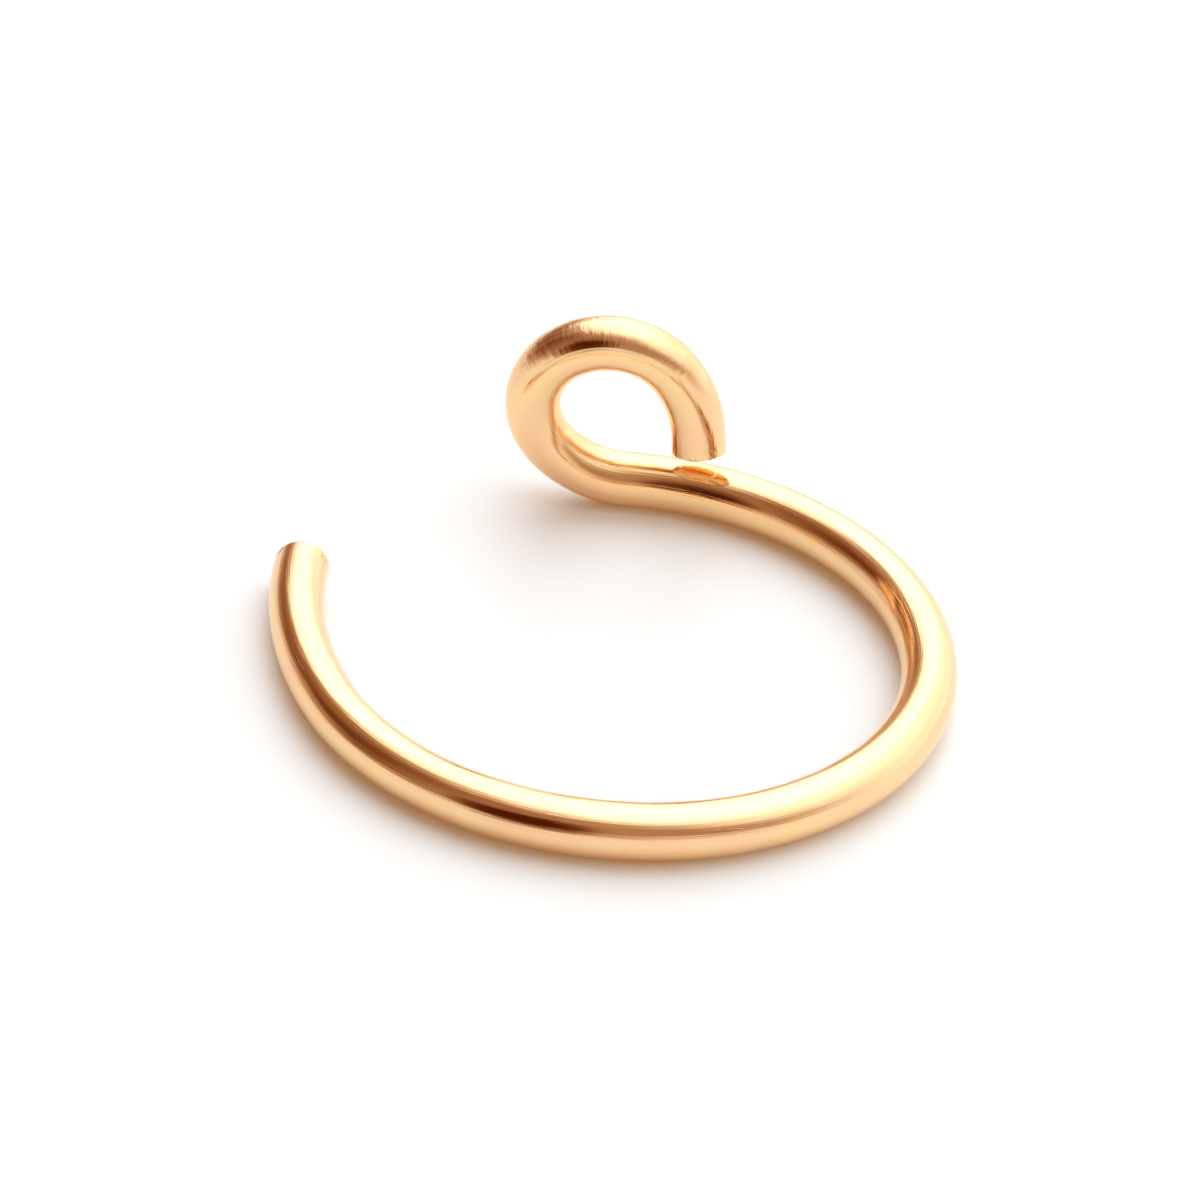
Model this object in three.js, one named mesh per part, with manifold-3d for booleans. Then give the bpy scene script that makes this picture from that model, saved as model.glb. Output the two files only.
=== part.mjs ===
// A nose ring: an open hoop bent from one round wire and lying flat, with a
// small upright curl at its far end. Millimetres and degrees, +Z up. The origin
// is under the middle of the ring, on the surface that the hoop lies on.

import * as THREE from 'three';
import { mergeVertices } from 'three/addons/utils/BufferGeometryUtils.js';
import Module from 'manifold-3d';

// Driving dimensions
const WIRE_DIAMETER = 0.81;
const HOOP_INNER_DIAMETER = 8.05;
const HOOP_TURN = 243.8;
const HOOP_END_HEADING = 181.3;
const BLUNT_END_INNER_RADIUS = 6.2;
const BLUNT_END_TURN = 30.4;
const LEAD_INNER_RADIUS = 1.2;
const LEAD_TURN = 49.5;
const CURL_INNER_DIAMETER = 1.5;
const OPENING_INNER_RADIUS = 1.4;
const OPENING_TURN = 33;
const TAIL_LEAN = 8;
const TAIL_CLEARANCE = 0.16;
const TAIL_SLANT = 15;
const CUT_CHAMFER = 0.06;

// How far the plane of a bend is rolled about the wire from the bend before it
const LEAD_ROLL = 88;
const CURL_ROLL = -4;
const OPENING_ROLL = -12;

// Facets of the swept wire
const WIRE_SIDES = 20;
const STEP_LENGTH = 0.23;

const WIRE_RADIUS = WIRE_DIAMETER / 2;

// The lead, the curl and its opening together turn the wire from the hoop's
// level heading until the tail points down, short of plumb by its lean.
const CURL_TURN = 270 - TAIL_LEAN - LEAD_TURN - OPENING_TURN;

// The bends in the order in which the wire runs, from the blunt end to the curl
const BENDS = [
  { innerRadius: BLUNT_END_INNER_RADIUS, turn: BLUNT_END_TURN, roll: 0 },
  { innerRadius: HOOP_INNER_DIAMETER / 2, turn: HOOP_TURN, roll: 0 },
  { innerRadius: LEAD_INNER_RADIUS, turn: LEAD_TURN, roll: LEAD_ROLL },
  { innerRadius: CURL_INNER_DIAMETER / 2, turn: CURL_TURN, roll: CURL_ROLL },
  { innerRadius: OPENING_INNER_RADIUS, turn: OPENING_TURN, roll: OPENING_ROLL },
];

const gold = new THREE.MeshStandardMaterial({
  name: 'polished_gold',
  color: 0xe0a56c,
  roughness: 0.12,
  metalness: 1,
});

const wasm = await Module();
wasm.setup();

// One bend of the wire: a circular arc that leaves start along heading and
// turns towards the side that inward points to.
class BendCurve extends THREE.Curve {
  constructor(start, heading, inward, radius, turn) {
    super();
    this.centre = start.clone().addScaledVector(inward, radius);
    this.spoke = start.clone().sub(this.centre);
    this.axis = heading.clone().cross(inward);
    this.turn = turn;
  }

  getPoint(t, target = new THREE.Vector3()) {
    return target.copy(this.spoke).applyAxisAngle(this.axis, this.turn * t).add(this.centre);
  }
}

// The way out of the tail's cut face, which slants so that its far side is longest
function tailCutNormal(heading) {
  const towardsFront = new THREE.Vector3(-1, 0, 0);
  return heading.clone().applyAxisAngle(towardsFront, THREE.MathUtils.degToRad(TAIL_SLANT));
}

// The straight tail stops with the low side of its cut face clear of the hoop.
function tailLength(start, heading) {
  const outward = tailCutNormal(heading);
  const slope = new THREE.Vector3(0, 0, 1);
  slope.addScaledVector(outward, -heading.z / heading.dot(outward));
  const rimDrop = WIRE_RADIUS * slope.length();
  const endHeight = WIRE_DIAMETER + TAIL_CLEARANCE + rimDrop;
  return (start.z - endHeight) / -heading.z;
}

// The centreline of the whole wire, bent turn by turn from its blunt end
function wirePath() {
  const path = new THREE.CurvePath();
  const up = new THREE.Vector3(0, 0, 1);
  const startHeading = THREE.MathUtils.degToRad(HOOP_END_HEADING - HOOP_TURN - BLUNT_END_TURN);
  const point = new THREE.Vector3(0, 0, WIRE_RADIUS);
  const heading = new THREE.Vector3(Math.cos(startHeading), Math.sin(startHeading), 0);
  const inward = up.clone().cross(heading);
  for (const bend of BENDS) {
    inward.applyAxisAngle(heading, THREE.MathUtils.degToRad(bend.roll));
    const turn = THREE.MathUtils.degToRad(bend.turn);
    const curve = new BendCurve(point, heading, inward, bend.innerRadius + WIRE_RADIUS, turn);
    path.add(curve);
    curve.getPoint(1, point);
    heading.applyAxisAngle(curve.axis, turn);
    inward.applyAxisAngle(curve.axis, turn);
  }
  const tailEnd = point.clone().addScaledVector(heading, tailLength(point, heading));
  path.add(new THREE.LineCurve3(point.clone(), tailEnd));
  return path;
}

function solidOf(geometry) {
  geometry.deleteAttribute('normal');
  geometry.deleteAttribute('uv');
  const merged = mergeVertices(geometry);
  const mesh = new wasm.Mesh({
    numProp: 3,
    vertProperties: new Float32Array(merged.attributes.position.array),
    triVerts: new Uint32Array(merged.index.array),
  });
  return new wasm.Manifold(mesh);
}

function geometryOf(solid) {
  const mesh = solid.getMesh();
  const geometry = new THREE.BufferGeometry();
  geometry.setAttribute('position', new THREE.BufferAttribute(mesh.vertProperties, 3));
  geometry.setIndex(new THREE.BufferAttribute(mesh.triVerts, 1));
  geometry.computeVertexNormals();
  return geometry;
}

// The ring of metal that is filed off the rim of a cut face. The face lies at
// y = 0 of the lathe's own frame, with the wire behind it on the +Y side. The
// lathe is turned by half a facet, so that no edge runs along one of the wire's.
function rimCutter() {
  const inner = WIRE_RADIUS - 2 * CUT_CHAMFER;
  const outer = WIRE_RADIUS + CUT_CHAMFER;
  const profile = [
    new THREE.Vector2(inner, -CUT_CHAMFER),
    new THREE.Vector2(outer, -CUT_CHAMFER),
    new THREE.Vector2(outer, 2 * CUT_CHAMFER),
    new THREE.Vector2(inner, -CUT_CHAMFER),
  ];
  return new THREE.LatheGeometry(profile, WIRE_SIDES, Math.PI / WIRE_SIDES);
}

// The rim cutter, put round a cut face and leaned along the wire with it
function cutterAt(point, intoWire, side, outward) {
  const across = side.clone().cross(intoWire);
  const leaned = [side, across].map((direction) => {
    const lean = -direction.dot(outward) / intoWire.dot(outward);
    return direction.clone().addScaledVector(intoWire, lean);
  });
  const place = new THREE.Matrix4().makeBasis(leaned[0], intoWire, leaned[1]).setPosition(point);
  return solidOf(rimCutter().applyMatrix4(place));
}

// Slide the last ring of the swept wire along the wire until it lies in the
// plane of the slanted cut face.
function slantTailEnd(swept, tailEnd, heading, outward) {
  const positions = swept.attributes.position;
  const corner = new THREE.Vector3();
  const offset = new THREE.Vector3();
  for (let i = 0; i < positions.count; i += 1) {
    corner.fromBufferAttribute(positions, i);
    offset.subVectors(corner, tailEnd);
    const nearEnd = offset.length() < WIRE_RADIUS * 1.01;
    if (nearEnd && Math.abs(offset.dot(heading)) < WIRE_RADIUS * 0.01) {
      corner.addScaledVector(heading, -offset.dot(outward) / heading.dot(outward));
      positions.setXYZ(i, corner.x, corner.y, corner.z);
    }
  }
}

function wireSolid(path) {
  const section = new THREE.Shape().absarc(0, 0, WIRE_RADIUS, 0, 2 * Math.PI);
  const steps = Math.ceil(path.getLength() / STEP_LENGTH);
  const frames = path.computeFrenetFrames(steps, false);
  const swept = new THREE.ExtrudeGeometry(section, {
    steps,
    curveSegments: WIRE_SIDES / 2,
    extrudePath: path,
  });
  const bluntHeading = frames.tangents[0];
  const bluntFace = path.getPoint(0);
  const bluntOutward = bluntHeading.clone().negate();
  const bluntCutter = cutterAt(bluntFace, bluntHeading, frames.normals[0], bluntOutward);
  const tailHeading = frames.tangents[steps];
  const tailFace = path.getPoint(1);
  const tailOutward = tailCutNormal(tailHeading);
  slantTailEnd(swept, tailFace, tailHeading, tailOutward);
  const intoTail = tailHeading.clone().negate();
  const tailCutter = cutterAt(tailFace, intoTail, frames.normals[steps], tailOutward);
  return solidOf(swept).subtract(bluntCutter).subtract(tailCutter);
}

function ringWire() {
  const geometry = geometryOf(wireSolid(wirePath()));
  geometry.computeBoundingBox();
  const middle = geometry.boundingBox.getCenter(new THREE.Vector3());
  const wire = new THREE.Mesh(geometry, gold);
  wire.name = 'ring_wire';
  wire.position.set(-middle.x, -middle.y, 0);
  return wire;
}

const noseRing = new THREE.Group();
noseRing.add(ringWire());

export default noseRing;
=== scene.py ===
from math import ceil, cos, degrees, pi, radians, sin

import bpy
from mathutils import Matrix, Vector
from mathutils.kdtree import KDTree


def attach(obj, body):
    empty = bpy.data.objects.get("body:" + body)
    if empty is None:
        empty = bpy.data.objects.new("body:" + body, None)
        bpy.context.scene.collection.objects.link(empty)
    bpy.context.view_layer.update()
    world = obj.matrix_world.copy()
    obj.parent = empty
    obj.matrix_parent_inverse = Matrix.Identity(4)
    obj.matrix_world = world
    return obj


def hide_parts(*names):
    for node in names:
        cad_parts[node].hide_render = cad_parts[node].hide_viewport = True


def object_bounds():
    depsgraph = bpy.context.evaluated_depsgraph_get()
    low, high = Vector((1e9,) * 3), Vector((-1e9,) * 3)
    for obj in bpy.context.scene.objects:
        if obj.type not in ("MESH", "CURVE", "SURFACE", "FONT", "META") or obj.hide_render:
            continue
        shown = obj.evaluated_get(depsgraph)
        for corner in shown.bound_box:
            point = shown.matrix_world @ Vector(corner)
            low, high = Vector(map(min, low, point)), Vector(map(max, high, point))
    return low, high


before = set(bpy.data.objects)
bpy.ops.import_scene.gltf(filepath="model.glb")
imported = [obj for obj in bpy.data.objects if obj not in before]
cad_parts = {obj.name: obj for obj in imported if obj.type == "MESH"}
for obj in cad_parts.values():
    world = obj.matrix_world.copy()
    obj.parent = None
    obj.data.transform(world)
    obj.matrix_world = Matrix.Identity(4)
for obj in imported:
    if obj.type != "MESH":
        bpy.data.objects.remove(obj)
CAD_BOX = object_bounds()

bl_info = {
    "name": "Curled wire nose ring",
    "version": (1, 0, 0),
    "blender": (4, 5, 0),
    "location": "3D View > Sidebar > Nose ring",
    "description": "Bends an open nose ring from one polished gold wire and lays it in soft light",
    "category": "Add Mesh",
}

MM = 0.001
UP = Vector((0, 0, 1))


# Sizes, finish and studio, as a user would change them


class WireSizes(bpy.types.PropertyGroup):
    """The bends of the wire, in the order in which it runs from its blunt end to its tail"""

    wire_diameter: bpy.props.FloatProperty(
        name="Wire diameter", description="Thickness of the round wire",
        default=0.81 * MM, unit="LENGTH", precision=5)
    blunt_end_inner_radius: bpy.props.FloatProperty(
        name="Blunt end inner radius", description="Inside radius of the flatter bend at the blunt end",
        default=6.2 * MM, unit="LENGTH", precision=5)
    blunt_end_turn: bpy.props.FloatProperty(
        name="Blunt end turn", description="How far the flatter bend goes round",
        default=radians(30.4), subtype="ANGLE")
    hoop_inner_diameter: bpy.props.FloatProperty(
        name="Hoop inner diameter", description="Inside diameter of the hoop",
        default=8.05 * MM, unit="LENGTH", precision=5)
    hoop_turn: bpy.props.FloatProperty(
        name="Hoop turn", description="How far the hoop goes round",
        default=radians(243.8), subtype="ANGLE")
    hoop_end_heading: bpy.props.FloatProperty(
        name="Hoop end heading", description="Direction in which the wire leaves the hoop for the curl",
        default=radians(181.3), subtype="ANGLE")
    lead_inner_radius: bpy.props.FloatProperty(
        name="Lead inner radius", description="Inside radius of the bend that lifts the wire into the curl",
        default=1.2 * MM, unit="LENGTH", precision=5)
    lead_turn: bpy.props.FloatProperty(
        name="Lead turn", description="How far the lead bend goes round",
        default=radians(49.5), subtype="ANGLE")
    lead_roll: bpy.props.FloatProperty(
        name="Lead roll", description="Turn of the lead's plane about the wire, from the hoop's plane",
        default=radians(88), subtype="ANGLE")
    curl_inner_diameter: bpy.props.FloatProperty(
        name="Curl inner diameter", description="Inside diameter of the small curl",
        default=1.5 * MM, unit="LENGTH", precision=5)
    curl_roll: bpy.props.FloatProperty(
        name="Curl roll", description="Turn of the curl's plane about the wire, from the lead's plane",
        default=radians(-4), subtype="ANGLE")
    opening_inner_radius: bpy.props.FloatProperty(
        name="Opening inner radius", description="Inside radius of the wider bend that ends the curl",
        default=1.4 * MM, unit="LENGTH", precision=5)
    opening_turn: bpy.props.FloatProperty(
        name="Opening turn", description="How far that wider bend goes round",
        default=radians(33), subtype="ANGLE")
    opening_roll: bpy.props.FloatProperty(
        name="Opening roll", description="Turn of its plane about the wire, from the curl's plane",
        default=radians(-12), subtype="ANGLE")
    tail_lean: bpy.props.FloatProperty(
        name="Tail lean", description="How far the tail is off plumb",
        default=radians(8), subtype="ANGLE")
    tail_clearance: bpy.props.FloatProperty(
        name="Tail clearance", description="Gap between the tail's cut face and the hoop under it",
        default=0.16 * MM, unit="LENGTH", precision=5)
    tail_slant: bpy.props.FloatProperty(
        name="Tail slant", description="Slant of the tail's cut face, which leaves its far side longest",
        default=radians(15), subtype="ANGLE")
    rim_radius: bpy.props.FloatProperty(
        name="Rim radius", description="Rounding of the rims of the two cut faces",
        default=0.06 * MM, unit="LENGTH", precision=5)


class GoldFinish(bpy.types.PropertyGroup):
    """The polished gold of the wire"""

    colour: bpy.props.FloatVectorProperty(
        name="Gold colour", description="Colour of the polished metal",
        default=(0.995, 0.68, 0.355), subtype="COLOR", min=0, max=1)
    rosy_colour: bpy.props.FloatVectorProperty(
        name="Rosy colour", description="Colour of the rosier patches of the metal",
        default=(0.995, 0.64, 0.35), subtype="COLOR", min=0, max=1)
    tarnish_colour: bpy.props.FloatVectorProperty(
        name="Tarnish colour", description="Colour of the dull film in nicks and tool marks",
        default=(0.30, 0.14, 0.06), subtype="COLOR", min=0, max=1)
    roughness: bpy.props.FloatProperty(
        name="Roughness", description="Roughness of the polish", default=0.055, min=0, max=1)
    waviness: bpy.props.FloatProperty(
        name="Waviness", description="Depth of the slow unevenness that bending leaves in the wire",
        default=0.010 * MM, unit="LENGTH", precision=5)
    plier_dents: bpy.props.FloatProperty(
        name="Plier dents", description="Depth of the dents that the pliers leave on the tight curl",
        default=0.012 * MM, unit="LENGTH", precision=5)
    line_depth: bpy.props.FloatProperty(
        name="Line depth", description="Depth of the fine drawing lines along the wire",
        default=0.004 * MM, unit="LENGTH", precision=7)
    mark_depth: bpy.props.FloatProperty(
        name="Mark depth", description="Depth of the crosswise marks where the curl is stretched",
        default=0.009 * MM, unit="LENGTH", precision=7)


class StudioLook(bpy.types.PropertyGroup):
    """The pale floor, the light from the dark side of the room and the camera"""

    floor_size: bpy.props.FloatProperty(
        name="Floor size", description="Width of the square floor", default=1.6, unit="LENGTH")
    floor_colour: bpy.props.FloatVectorProperty(
        name="Floor colour", description="Colour of the pale floor",
        default=(0.78, 0.88, 0.94), subtype="COLOR", min=0, max=1)
    # Painted light: an even warm glow in the floor that stands in for the warm light the gold bounces into
    # the floor's shadows, so they stay light and warm
    painted_floor_glow: bpy.props.FloatVectorProperty(
        name="Floor glow", description="Light from under the floor, which keeps the shadows light and warm",
        default=(0.13, 0.07, 0.035), subtype="COLOR", min=0, max=1)
    floor_roughness: bpy.props.FloatProperty(
        name="Floor roughness", description="Roughness of the floor", default=0.42, min=0, max=1)
    floor_gloss: bpy.props.FloatProperty(
        name="Floor gloss", description="Strength of the floor's gloss", default=0.30, min=0, max=1)
    shade: bpy.props.FloatProperty(
        name="Shade", description="Light that comes back from the dark side of the warm room",
        default=0.15, min=0, max=1)
    camera_elevation: bpy.props.FloatProperty(
        name="Camera elevation", description="Height of the camera's view above the floor",
        default=radians(34.3), subtype="ANGLE")
    camera_distance: bpy.props.FloatProperty(
        name="Camera distance", description="Distance of the camera from the hoop's centre",
        default=87.2 * MM, unit="LENGTH", precision=5)
    camera_roll: bpy.props.FloatProperty(
        name="Camera roll", description="Lean of the camera about its view",
        default=radians(5.05), subtype="ANGLE")
    focal_length: bpy.props.FloatProperty(
        name="Focal length", description="Focal length of the camera, in millimetres",
        default=183.8, unit="CAMERA")
    aim_offset: bpy.props.FloatVectorProperty(
        name="Aim offset", description="Middle of the picture, from the hoop's centre",
        default=(-0.335 * MM, 0.361 * MM, 0.529 * MM), subtype="XYZ", unit="LENGTH", precision=6)


# The path of the wire


class Bend:
    """One circular bend of the wire: where it starts, which way it runs and which way it turns"""

    def __init__(self, start, heading, inward, inner_radius, wire_radius, turn):
        self.radius = inner_radius + wire_radius
        self.start = start.copy()
        self.heading = heading.copy()
        self.inward = inward.copy()
        self.centre = start + inward * self.radius
        self.axis = heading.cross(inward)
        self.turn = turn

    def length(self):
        return self.radius * self.turn

    def turned(self, share):
        return Matrix.Rotation(self.turn * share, 3, self.axis)

    def point(self, share):
        return self.centre + self.turned(share) @ (self.start - self.centre)


# A level wire that turns upwards this far points straight down
LEVEL_TO_PLUMB = radians(270)


def bend_rows(sizes):
    """Inside radius, turn and roll of each bend; together the last three point the tail downwards."""
    curl_turn = LEVEL_TO_PLUMB - sizes.tail_lean - sizes.lead_turn - sizes.opening_turn
    return (
        (sizes.blunt_end_inner_radius, sizes.blunt_end_turn, 0),
        (sizes.hoop_inner_diameter / 2, sizes.hoop_turn, 0),
        (sizes.lead_inner_radius, sizes.lead_turn, sizes.lead_roll),
        (sizes.curl_inner_diameter / 2, curl_turn, sizes.curl_roll),
        (sizes.opening_inner_radius, sizes.opening_turn, sizes.opening_roll),
    )


def follow_bends(sizes, start):
    """The bends from a start point, and where and which way the wire leaves the last one."""
    wire_radius = sizes.wire_diameter / 2
    angle = sizes.hoop_end_heading - sizes.hoop_turn - sizes.blunt_end_turn
    point = start.copy()
    heading = Vector((cos(angle), sin(angle), 0))
    inward = UP.cross(heading)
    bends = []
    for inner_radius, turn, roll in bend_rows(sizes):
        inward = Matrix.Rotation(roll, 3, heading) @ inward
        bend = Bend(point, heading, inward, inner_radius, wire_radius, turn)
        bends.append(bend)
        point = bend.point(1)
        heading = bend.turned(1) @ heading
        inward = bend.turned(1) @ inward
    return bends, point, heading


def wire_start(sizes):
    """The blunt end's place: the hoop's right and near sides touch the CAD box."""
    low, high = CAD_BOX
    outer = sizes.hoop_inner_diameter / 2 + sizes.wire_diameter
    centre = Vector((high[0] - outer, low[1] + outer, sizes.wire_diameter / 2))
    bends = follow_bends(sizes, Vector((0, 0, 0)))[0]
    return centre - bends[1].centre


def hoop_centre(sizes):
    return follow_bends(sizes, wire_start(sizes))[0][1].centre


def tail_cut_normal(sizes, heading):
    """The way out of the tail's cut face, which slants so that its far side is longest."""
    return Matrix.Rotation(-sizes.tail_slant, 3, "X") @ heading


def tail_length(sizes, point, heading):
    """The straight tail stops with the low side of its cut face clear of the hoop."""
    outward = tail_cut_normal(sizes, heading)
    slope = UP - outward * (heading.z / heading.dot(outward))
    rim_drop = sizes.wire_diameter / 2 * slope.length
    end_height = sizes.wire_diameter + sizes.tail_clearance + rim_drop
    return (point.z - end_height) / -heading.z


# The greatest distance between two stations along the wire's middle
STATION_STEP = 0.02 * MM


def wire_stations(bends, tail_point, tail_heading, tail):
    """Close places along the wire's middle, from the blunt end to the tail's cut face.

    Each has its point and heading, two directions across the wire that turn only as the wire bends,
    the pull of the bend (towards its inside, as one part in its radius) and the length so far.
    """
    side = bends[0].inward.copy()
    over = UP.copy()
    length = 0.0
    rows = []
    for bend in bends:
        steps = ceil(bend.length() / STATION_STEP)
        for step in range(steps):
            share = (step + 0.5) / steps
            turned = bend.turned(share)
            rows.append({
                "point": bend.point(share), "heading": turned @ bend.heading,
                "side": turned @ side, "over": turned @ over,
                "pull": turned @ bend.inward / bend.radius, "length": length + share * bend.length()})
        side = bend.turned(1) @ side
        over = bend.turned(1) @ over
        length += bend.length()
    steps = ceil(tail / STATION_STEP)
    for step in range(steps + 1):
        reach = tail * step / steps
        rows.append({
            "point": tail_point + tail_heading * reach, "heading": tail_heading,
            "side": side, "over": over, "pull": Vector((0, 0, 0)), "length": length + reach})
    return rows


# The mesh of the wire


def edit_mode(on):
    bpy.ops.object.mode_set(mode="EDIT" if on else "OBJECT")


def start_piece(name):
    """Name the object that was just added, with its place moved into its mesh."""
    piece = bpy.context.object
    piece.name = name
    piece.data.name = name
    bpy.ops.object.transform_apply(location=True, rotation=True, scale=True)
    return piece


# How finely the wire is made: its sides, the greatest length of a step along it
# and the steps round the rim of a cut face
WIRE_SIDES = 72
STEP_LENGTH = 0.045 * MM
RIM_STEPS = 5

# A cut face is inset twice, by these shares of its radius
FACE_INSETS = (0.5, 0.3)


def close_cut_end(centre, outward, wire_radius, rim_radius):
    """Round the rim of the selected open ring and close it with a flat cut face."""
    last_radius = wire_radius
    last_rise = 0.0
    for step in range(1, RIM_STEPS + 1):
        angle = pi / 2 * step / RIM_STEPS
        rise = rim_radius * sin(angle)
        radius = wire_radius - rim_radius * (1 - cos(angle))
        shift = outward * (rise - last_rise)
        bpy.ops.mesh.extrude_region_move(TRANSFORM_OT_translate={"value": shift})
        share = radius / last_radius
        bpy.ops.transform.resize(value=(share, share, share), center_override=centre + outward * rise)
        last_radius = radius
        last_rise = rise
    bpy.ops.mesh.edge_face_add()
    for inset in FACE_INSETS:
        bpy.ops.mesh.inset(thickness=last_radius * inset)
    bpy.ops.mesh.select_all(action="DESELECT")


# How far a vertex may lie off its ring and still count as one of it, in wire radii
RING_SLACK = 0.01


def select_ring_at(piece, centre, outward, wire_radius):
    """Select the open ring of edges that lies round one point, in the plane across the wire."""
    edit_mode(False)
    reach = wire_radius * (1 + RING_SLACK)
    flat = wire_radius * RING_SLACK
    for vertex in piece.data.vertices:
        offset = vertex.co - centre
        vertex.select = offset.length < reach and abs(offset.dot(outward)) < flat
    edit_mode(True)


# The stretch at which the pliers' dents begin, and at which they are deepest
DENT_STRETCH = (0.10, 0.30)


def unbend(piece, stations):
    """Give each vertex its place on the wire before bending, and how far bending stretched it.

    wire_space holds, in millimetres, the two distances from the wire's middle and the length along
    it. wire_stretch is above 0 on the outside of a bend and below 0 on its inside. The group
    stretched takes in both sides of a tight bend.
    """
    tree = KDTree(len(stations))
    for number, station in enumerate(stations):
        tree.insert(station["point"], number)
    tree.balance()
    places = []
    stretches = []
    for vertex in piece.data.vertices:
        station = stations[tree.find(vertex.co)[1]]
        offset = vertex.co - station["point"]
        along = station["length"] + offset.dot(station["heading"])
        places.extend((offset.dot(station["side"]) / MM, offset.dot(station["over"]) / MM, along / MM))
        stretches.append(-offset.dot(station["pull"]))
    attributes = piece.data.attributes
    attributes.new("wire_space", "FLOAT_VECTOR", "POINT").data.foreach_set("vector", places)
    attributes.new("wire_stretch", "FLOAT", "POINT").data.foreach_set("value", stretches)
    group = piece.vertex_groups.new(name="stretched")
    for number, stretch in enumerate(stretches):
        weight = (abs(stretch) - DENT_STRETCH[0]) / (DENT_STRETCH[1] - DENT_STRETCH[0])
        if weight > 0:
            group.add([number], min(weight, 1), "REPLACE")


# The clouds that move the surface: how wide they are, and how many finer layers they have
WAVES = {"size": 1.1 * MM, "layers": 1}
DENTS = {"size": 0.32 * MM, "layers": 2}


def displace(piece, name, depth, clouds, group=""):
    """Move the surface in and out by a cloud pattern, all over or as a vertex group says."""
    texture = bpy.data.textures.new(name, type="CLOUDS")
    texture.noise_scale = clouds["size"]
    texture.noise_depth = clouds["layers"]
    bpy.ops.object.modifier_add(type="DISPLACE")
    modifier = piece.modifiers[-1]
    modifier.name = name
    modifier.texture = texture
    modifier.texture_coords = "LOCAL"
    modifier.strength = depth
    modifier.mid_level = 0.5
    modifier.vertex_group = group
    bpy.ops.object.modifier_apply(modifier=name)


# Vertices closer than this are one, and edges sharper than this stay crisp
MERGE_DISTANCE = 0.0001 * MM
CRISP_ANGLE = radians(40)


class RING_OT_bend_wire(bpy.types.Operator):
    """Bend the wire: a circle is spun round each bend in turn, and both cut ends are closed"""

    bl_idname = "nose_ring.bend_wire"
    bl_label = "Bend the ring's wire"
    bl_options = {"REGISTER", "UNDO"}

    def execute(self, context):
        sizes = context.scene.nose_ring_sizes
        finish = context.scene.nose_ring_finish
        wire_radius = sizes.wire_diameter / 2
        rim = sizes.rim_radius
        start = wire_start(sizes)
        bends, tail_point, tail_heading = follow_bends(sizes, start)
        tail = tail_length(sizes, tail_point, tail_heading)
        if tail < rim:
            raise RuntimeError("The curl is too low to leave room for a tail above the hoop")
        bpy.ops.object.select_all(action="DESELECT")
        bpy.ops.mesh.primitive_circle_add(
            vertices=WIRE_SIDES, radius=wire_radius, location=start,
            rotation=bends[0].heading.to_track_quat("Z", "Y").to_euler())
        piece = start_piece("wire")
        edit_mode(True)
        bpy.ops.mesh.select_all(action="SELECT")
        for bend in bends:
            steps = ceil(bend.length() / STEP_LENGTH)
            bpy.ops.mesh.spin(steps=steps, angle=-bend.turn, center=bend.centre, axis=bend.axis)
        straight = tail - rim
        steps = ceil(straight / STEP_LENGTH)
        shift = tail_heading * (straight / steps)
        for _ in range(steps):
            bpy.ops.mesh.extrude_region_move(TRANSFORM_OT_translate={"value": shift})
        tail_end = tail_point + tail_heading * straight
        bpy.ops.transform.rotate(
            value=sizes.tail_slant, orient_axis="X", orient_type="GLOBAL", center_override=tail_end)
        close_cut_end(tail_end, tail_cut_normal(sizes, tail_heading), wire_radius, rim)
        select_ring_at(piece, start, bends[0].heading, wire_radius)
        close_cut_end(start, -bends[0].heading, wire_radius, rim)
        bpy.ops.mesh.select_all(action="SELECT")
        bpy.ops.mesh.remove_doubles(threshold=MERGE_DISTANCE)
        bpy.ops.mesh.normals_make_consistent(inside=False)
        edit_mode(False)
        stations = wire_stations(bends, tail_point, tail_heading, tail)
        unbend(piece, stations)
        displace(piece, "waviness", finish.waviness, WAVES)
        displace(piece, "plier_dents", finish.plier_dents, DENTS, group="stretched")
        bpy.ops.object.shade_smooth_by_angle(angle=CRISP_ANGLE)
        piece.data.materials.append(gold_material(finish, stations[-1]["length"] / MM, rim / MM))
        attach(piece, "root")
        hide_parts("ring_wire")
        return {"FINISHED"}


# Shader nodes, for the metal and for the light


def add_node(tree, kind, inputs, **settings):
    """Add a shader node. Each input, by its name or number, is given a value or a feeding output."""
    node = tree.nodes.new("ShaderNode" + kind)
    for name, value in settings.items():
        setattr(node, name, value)
    for name, value in inputs.items():
        if isinstance(value, bpy.types.NodeSocket):
            tree.links.new(value, node.inputs[name])
        else:
            node.inputs[name].default_value = value
    return node


def calc(tree, operation, first, second):
    return add_node(tree, "Math", {0: first, 1: second}, operation=operation).outputs[0]


def ramp(tree, value, start, end, low=0.0, high=1.0):
    """Low up to start and high from end on, with a smooth passage between them."""
    spread = add_node(
        tree, "MapRange",
        {"Value": value, "From Min": start, "From Max": end, "To Min": low, "To Max": high},
        interpolation_type="SMOOTHSTEP")
    return spread.outputs["Result"]


# The metal, whose patterns are laid out in millimetres on the wire before bending


def noise(tree, place, across, along, detail, seed):
    """A noise of the wire: how many spots to the millimetre it has across and along."""
    scaled = add_node(
        tree, "VectorMath", {0: place, 1: (across, across, along)}, operation="MULTIPLY")
    spots = add_node(
        tree, "TexNoise", {"Vector": scaled.outputs[0], "W": seed, "Scale": 1, "Detail": detail},
        noise_dimensions="4D")
    return spots.outputs["Fac"]


# The Mix node's sockets for colours go by number, since other sockets have the same names
MIX_SHARE = 0
MIX_FIRST = 6
MIX_SECOND = 7
MIX_RESULT = 2


def blend(tree, share, first, second):
    """The first colour, going over to the second as share goes from 0 to 1."""
    inputs = {MIX_SHARE: share, MIX_FIRST: first, MIX_SECOND: second}
    return add_node(tree, "Mix", inputs, data_type="RGBA").outputs[MIX_RESULT]


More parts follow.
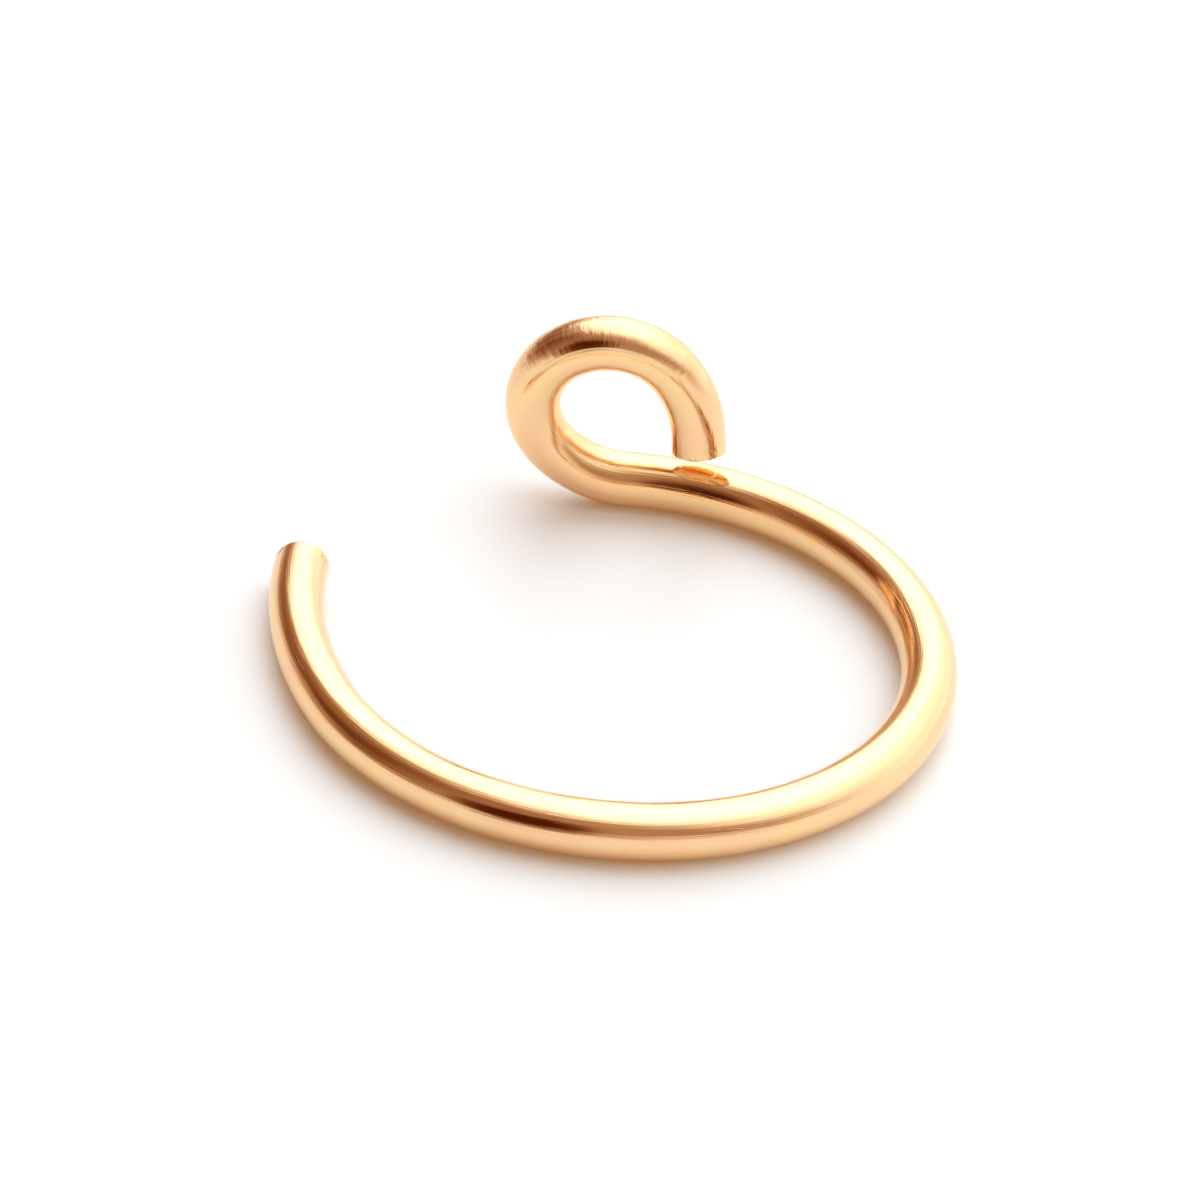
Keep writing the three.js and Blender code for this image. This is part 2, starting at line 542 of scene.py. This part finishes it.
def bumps(tree, height, depth, under=None):
    """Raise the surface by its height times the depth, over the bumps that it already has."""
    inputs = {"Height": height, "Distance": depth, "Strength": 1}
    if under is not None:
        inputs["Normal"] = under
    return add_node(tree, "Bump", inputs).outputs["Normal"]


# The stretch at which stretch marks begin and at which they are full, and the
# same for the dull grain that bending leaves on both sides of a bend
MARK_STRETCH = (0.10, 0.30)
GRAIN_STRETCH = (0.12, 0.30)

# The values of its noise at which each pattern begins and at which it is full
LINE_SPREAD = (0.54, 0.64)
FINE_LINE_SPREAD = (0.55, 0.68)
MARK_SPREAD = (0.40, 0.26)
ROSY_SPREAD = (0.38, 0.64)
GRAIN_SPREAD = (0.3, 0.7)
SCRATCHED_SPREAD = (0.55, 0.65)

# How strongly nicks and stretch marks are tarnished
NICK_TARNISH = 0.8
MARK_TARNISH = 0.25

# What each kind of mark adds to the roughness of the polish; the grain adds
# from its first to its second value
LINE_ROUGHNESS = 0.14
FINE_LINE_ROUGHNESS = 0.06
GRAIN_ROUGHNESS = (0.12, 0.20)
SCRATCH_ROUGHNESS = 0.08
TARNISH_ROUGHNESS = 0.25

# Depths as shares of the drawing lines' depth, and the nicks' of the stretch marks'
FINE_LINE_DEPTH = 0.4
SCRATCH_DEPTH = 0.15
GRAIN_DEPTH = 0.1
NICK_DEPTH = 0.5

# A scratch runs along the middle value of its noise, and this far to each side
SCRATCH_MIDDLE = 0.5
SCRATCH_WIDTH = 0.012

# How far from a cut face the nicks begin and where they are full, in
# millimetres, and the values of their noise at which they do
TAIL_NICKS = {"far": 0.34, "near": 0.14, "spread": (0.56, 0.66)}
BLUNT_NICKS = {"far": 0.22, "near": 0.04, "spread": (0.55, 0.65)}


def hair_scratches(tree, place, patches):
    """Hairlines where a long stretched noise crosses its middle value, inside some patches."""
    hairs = noise(tree, place, across=9, along=0.5, detail=0, seed=6)
    off_middle = calc(tree, "ABSOLUTE", calc(tree, "SUBTRACT", hairs, SCRATCH_MIDDLE), 0)
    hairlines = ramp(tree, off_middle, SCRATCH_WIDTH, 0)
    return calc(tree, "MULTIPLY", hairlines, ramp(tree, patches, *SCRATCHED_SPREAD))


def end_nicks(tree, spots, from_face, nicks, rim):
    """Nicks in the side of the wire near a cut end, which fade out over the rim of its cut face."""
    near_end = ramp(tree, from_face, nicks["far"], nicks["near"])
    near_end = calc(tree, "MULTIPLY", near_end, ramp(tree, spots, *nicks["spread"]))
    return calc(tree, "MULTIPLY", near_end, ramp(tree, from_face, 0, rim))


def both_ends_nicks(tree, place, wire_length, rim):
    """The nicks near the tail's cut face and those near the blunt end's."""
    from_blunt = add_node(tree, "SeparateXYZ", {"Vector": place}).outputs["Z"]
    from_tail = calc(tree, "SUBTRACT", wire_length, from_blunt)
    tail_spots = noise(tree, place, across=6, along=5, detail=3, seed=7)
    blunt_spots = noise(tree, place, across=7, along=6, detail=3, seed=8)
    tail_nicks = end_nicks(tree, tail_spots, from_tail, TAIL_NICKS, rim)
    blunt_nicks = end_nicks(tree, blunt_spots, from_blunt, BLUNT_NICKS, rim)
    return calc(tree, "MAXIMUM", tail_nicks, blunt_nicks)


def gold_material(finish, wire_length, rim):
    """Polished gold with drawing lines, stretch marks on the curl, hairline scratches and tarnish."""
    material = bpy.data.materials.new("polished_gold")
    material.use_nodes = True
    tree = material.node_tree
    shader = tree.nodes["Principled BSDF"]
    place = add_node(tree, "Attribute", {}, attribute_name="wire_space").outputs["Vector"]
    stretch = add_node(tree, "Attribute", {}, attribute_name="wire_stretch").outputs["Fac"]

    lines = noise(tree, place, across=22, along=0.35, detail=4, seed=1)
    fine_lines = noise(tree, place, across=60, along=1.2, detail=2, seed=2)
    marks = noise(tree, place, across=3.4, along=17, detail=3, seed=3)
    patches = noise(tree, place, across=1.1, along=0.8, detail=3, seed=4)
    grain = noise(tree, place, across=45, along=45, detail=3, seed=5)
    scratches = hair_scratches(tree, place, patches)
    nicks = both_ends_nicks(tree, place, wire_length, rim)

    marked = ramp(tree, stretch, *MARK_STRETCH)
    unmarked = calc(tree, "SUBTRACT", 1, marked)
    worked = ramp(tree, calc(tree, "ABSOLUTE", stretch, 0), *GRAIN_STRETCH)
    mark_tarnish = calc(tree, "MULTIPLY", marked, ramp(tree, marks, *MARK_SPREAD, 0, MARK_TARNISH))
    tarnish = calc(tree, "MAXIMUM", calc(tree, "MULTIPLY", nicks, NICK_TARNISH), mark_tarnish)

    rosy = ramp(tree, patches, *ROSY_SPREAD)
    metal = blend(tree, rosy, (*finish.colour, 1), (*finish.rosy_colour, 1))
    colour = blend(tree, tarnish, metal, (*finish.tarnish_colour, 1))
    tree.links.new(colour, shader.inputs["Base Color"])
    shader.inputs["Metallic"].default_value = 1

    rough = finish.roughness
    for added in (
            ramp(tree, lines, *LINE_SPREAD, 0, LINE_ROUGHNESS),
            ramp(tree, fine_lines, *FINE_LINE_SPREAD, 0, FINE_LINE_ROUGHNESS),
            calc(tree, "MULTIPLY", worked, ramp(tree, grain, *GRAIN_SPREAD, *GRAIN_ROUGHNESS)),
            calc(tree, "MULTIPLY", scratches, SCRATCH_ROUGHNESS),
            calc(tree, "MULTIPLY", tarnish, TARNISH_ROUGHNESS)):
        rough = calc(tree, "ADD", rough, added)
    tree.links.new(rough, shader.inputs["Roughness"])

    line_depth = finish.line_depth
    mark_depth = finish.mark_depth
    normal = bumps(tree, calc(tree, "MULTIPLY", lines, unmarked), line_depth)
    normal = bumps(tree, calc(tree, "MULTIPLY", fine_lines, unmarked), line_depth * FINE_LINE_DEPTH, normal)
    normal = bumps(tree, calc(tree, "MULTIPLY", marks, marked), mark_depth, normal)
    normal = bumps(tree, calc(tree, "MULTIPLY", scratches, -1), line_depth * SCRATCH_DEPTH, normal)
    normal = bumps(tree, calc(tree, "MULTIPLY", nicks, -1), mark_depth * NICK_DEPTH, normal)
    normal = bumps(tree, grain, line_depth * GRAIN_DEPTH, normal)
    tree.links.new(normal, shader.inputs["Normal"])
    return material


# The studio


def direction(azimuth, elevation):
    """A direction from the ring: azimuth from +Y towards +X, elevation above the floor, in degrees."""
    a = radians(azimuth)
    e = radians(elevation)
    return Vector((sin(a) * cos(e), cos(a) * cos(e), sin(e)))


# The soft boxes round the ring: where each is seen from it, its half width and
# the width of its soft edge, all in degrees, and how much light it adds. The
# last is the low, wide glow of the room behind the camera.
SOFT_BOXES = (
    {"azimuth": 4, "elevation": 26, "half_width": 16, "edge": 14, "strength": 0.82},
    {"azimuth": 50, "elevation": 50, "half_width": 47, "edge": 54, "strength": 1.20},
    {"azimuth": -2, "elevation": 62, "half_width": 52, "edge": 20, "strength": 0.18},
    {"azimuth": -24, "elevation": 41, "half_width": 9, "edge": 13, "strength": 0.97},
    {"azimuth": 11, "elevation": 71, "half_width": 29, "edge": 24, "strength": 0.84},
    {"azimuth": 176, "elevation": 0, "half_width": 70, "edge": 62, "strength": 0.30},
)

# A black card beside the camera: where it hangs, in degrees, and the share of
# the room's light that is left in the middle of it
BLACK_CARD = {"azimuth": -154, "elevation": 23, "half_width": 18, "edge": 20, "light_left": 0.16}

# The pale backdrop stands all round the floor: where it starts to fade and where
# it ends, in degrees above the floor, and how bright it is
BACKDROP = {"low": -6, "high": 20, "strength": 0.61}

# The warm room gives back less green and still less blue as the light in it fades
GREEN_FADE = 0.60
BLUE_FADE = 1.10


def soft_disc(tree, way, disc, outside, inside):
    """A round patch of the surroundings with a soft edge, with one value outside it and one inside."""
    toward = direction(disc["azimuth"], disc["elevation"])
    facing = add_node(tree, "VectorMath", {0: way, 1: toward}, operation="DOT_PRODUCT")
    edge = cos(radians(disc["half_width"] + disc["edge"] / 2))
    middle = cos(radians(disc["half_width"] - disc["edge"] / 2))
    return ramp(tree, facing.outputs["Value"], edge, middle, outside, inside)


def set_world(look):
    """Surround the ring with a dim warm room, a pale backdrop, soft boxes and a black card."""
    world = bpy.data.worlds.new("studio")
    bpy.context.scene.world = world
    world.use_nodes = True
    tree = world.node_tree
    way = add_node(tree, "TexCoord", {}).outputs["Generated"]
    height = add_node(tree, "SeparateXYZ", {"Vector": way}).outputs["Z"]
    low = sin(radians(BACKDROP["low"]))
    high = sin(radians(BACKDROP["high"]))
    light = ramp(tree, height, low, high, BACKDROP["strength"], 0)
    for box in SOFT_BOXES:
        light = calc(tree, "ADD", light, soft_disc(tree, way, box, 0, box["strength"]))
    card = soft_disc(tree, way, BLACK_CARD, 1, BLACK_CARD["light_left"])
    light = calc(tree, "MULTIPLY", card, calc(tree, "ADD", light, look.shade))
    dim = calc(tree, "MINIMUM", light, 1)
    colour = add_node(tree, "CombineXYZ", {
        "X": light,
        "Y": calc(tree, "MULTIPLY", light, calc(tree, "POWER", dim, GREEN_FADE)),
        "Z": calc(tree, "MULTIPLY", light, calc(tree, "POWER", dim, BLUE_FADE))})
    tree.links.new(colour.outputs[0], tree.nodes["Background"].inputs["Color"])


def set_floor(look):
    """A plain pale floor under the ring, with a faint warm painted glow that lightens and warms its
    shadows.
    """
    bpy.ops.object.select_all(action="DESELECT")
    bpy.ops.mesh.primitive_plane_add(size=look.floor_size, location=(0, 0, 0))
    floor = start_piece("floor")
    material = bpy.data.materials.new("pale_floor")
    material.use_nodes = True
    shader = material.node_tree.nodes["Principled BSDF"]
    shader.inputs["Base Color"].default_value = (*look.floor_colour, 1)
    shader.inputs["Roughness"].default_value = look.floor_roughness
    shader.inputs["Specular IOR Level"].default_value = look.floor_gloss
    # Painted light: the floor glows faintly warm, standing in for the light that the gold bounces into its
    # shadows
    shader.inputs["Emission Color"].default_value = (*look.painted_floor_glow, 1)
    shader.inputs["Emission Strength"].default_value = 1
    floor.data.materials.append(material)


# The camera looks from straight in front of the ring, and its sensor is this
# many millimetres wide. It sees nothing nearer or farther than the last two.
CAMERA_AZIMUTH = 180
SENSOR_WIDTH = 36
NEAREST = 1 * MM
FARTHEST = 10


def set_camera(look, centre):
    """A camera in front of the ring and above it, leaning a little about its view."""
    toward = direction(CAMERA_AZIMUTH, degrees(look.camera_elevation))
    place = centre + toward * look.camera_distance
    forward = (centre + Vector(look.aim_offset) - place).normalized()
    right = forward.cross(UP).normalized()
    level = Matrix((right, right.cross(forward), -forward)).transposed()
    lean = Matrix.Rotation(look.camera_roll, 3, forward)
    bpy.ops.object.camera_add(location=place, rotation=(lean.inverted() @ level).to_euler())
    camera = bpy.context.object
    camera.name = "camera"
    camera.data.type = "PERSP"
    camera.data.sensor_width = SENSOR_WIDTH
    camera.data.lens = look.focal_length
    camera.data.clip_start = NEAREST
    camera.data.clip_end = FARTHEST
    bpy.context.scene.camera = camera


class RING_OT_set_studio(bpy.types.Operator):
    """Lay a pale floor under the ring, put soft light round it and place the camera"""

    bl_idname = "nose_ring.set_studio"
    bl_label = "Set the studio"
    bl_options = {"REGISTER", "UNDO"}

    def execute(self, context):
        look = context.scene.nose_ring_studio
        set_world(look)
        set_floor(look)
        set_camera(look, hoop_centre(context.scene.nose_ring_sizes))
        context.scene.view_settings.view_transform = "Standard"
        return {"FINISHED"}


# The panel, and what runs it all


class RING_PT_panel(bpy.types.Panel):
    """The ring's sizes, finish and studio"""

    bl_idname = "RING_PT_panel"
    bl_label = "Nose ring"
    bl_space_type = "VIEW_3D"
    bl_region_type = "UI"
    bl_category = "Nose ring"

    def draw(self, context):
        scene = context.scene
        for group in (scene.nose_ring_sizes, scene.nose_ring_finish, scene.nose_ring_studio):
            box = self.layout.box()
            for name in group.bl_rna.properties.keys():
                if name not in ("rna_type", "name"):
                    box.prop(group, name)
        self.layout.operator(RING_OT_bend_wire.bl_idname)
        self.layout.operator(RING_OT_set_studio.bl_idname)


CLASSES = (WireSizes, GoldFinish, StudioLook, RING_OT_bend_wire, RING_OT_set_studio, RING_PT_panel)


def register():
    for cls in CLASSES:
        bpy.utils.register_class(cls)
    bpy.types.Scene.nose_ring_sizes = bpy.props.PointerProperty(type=WireSizes)
    bpy.types.Scene.nose_ring_finish = bpy.props.PointerProperty(type=GoldFinish)
    bpy.types.Scene.nose_ring_studio = bpy.props.PointerProperty(type=StudioLook)


def unregister():
    del bpy.types.Scene.nose_ring_studio
    del bpy.types.Scene.nose_ring_finish
    del bpy.types.Scene.nose_ring_sizes
    for cls in reversed(CLASSES):
        bpy.utils.unregister_class(cls)


def main():
    register()
    bpy.ops.nose_ring.bend_wire()
    bpy.ops.nose_ring.set_studio()


if __name__ == "__main__":
    main()
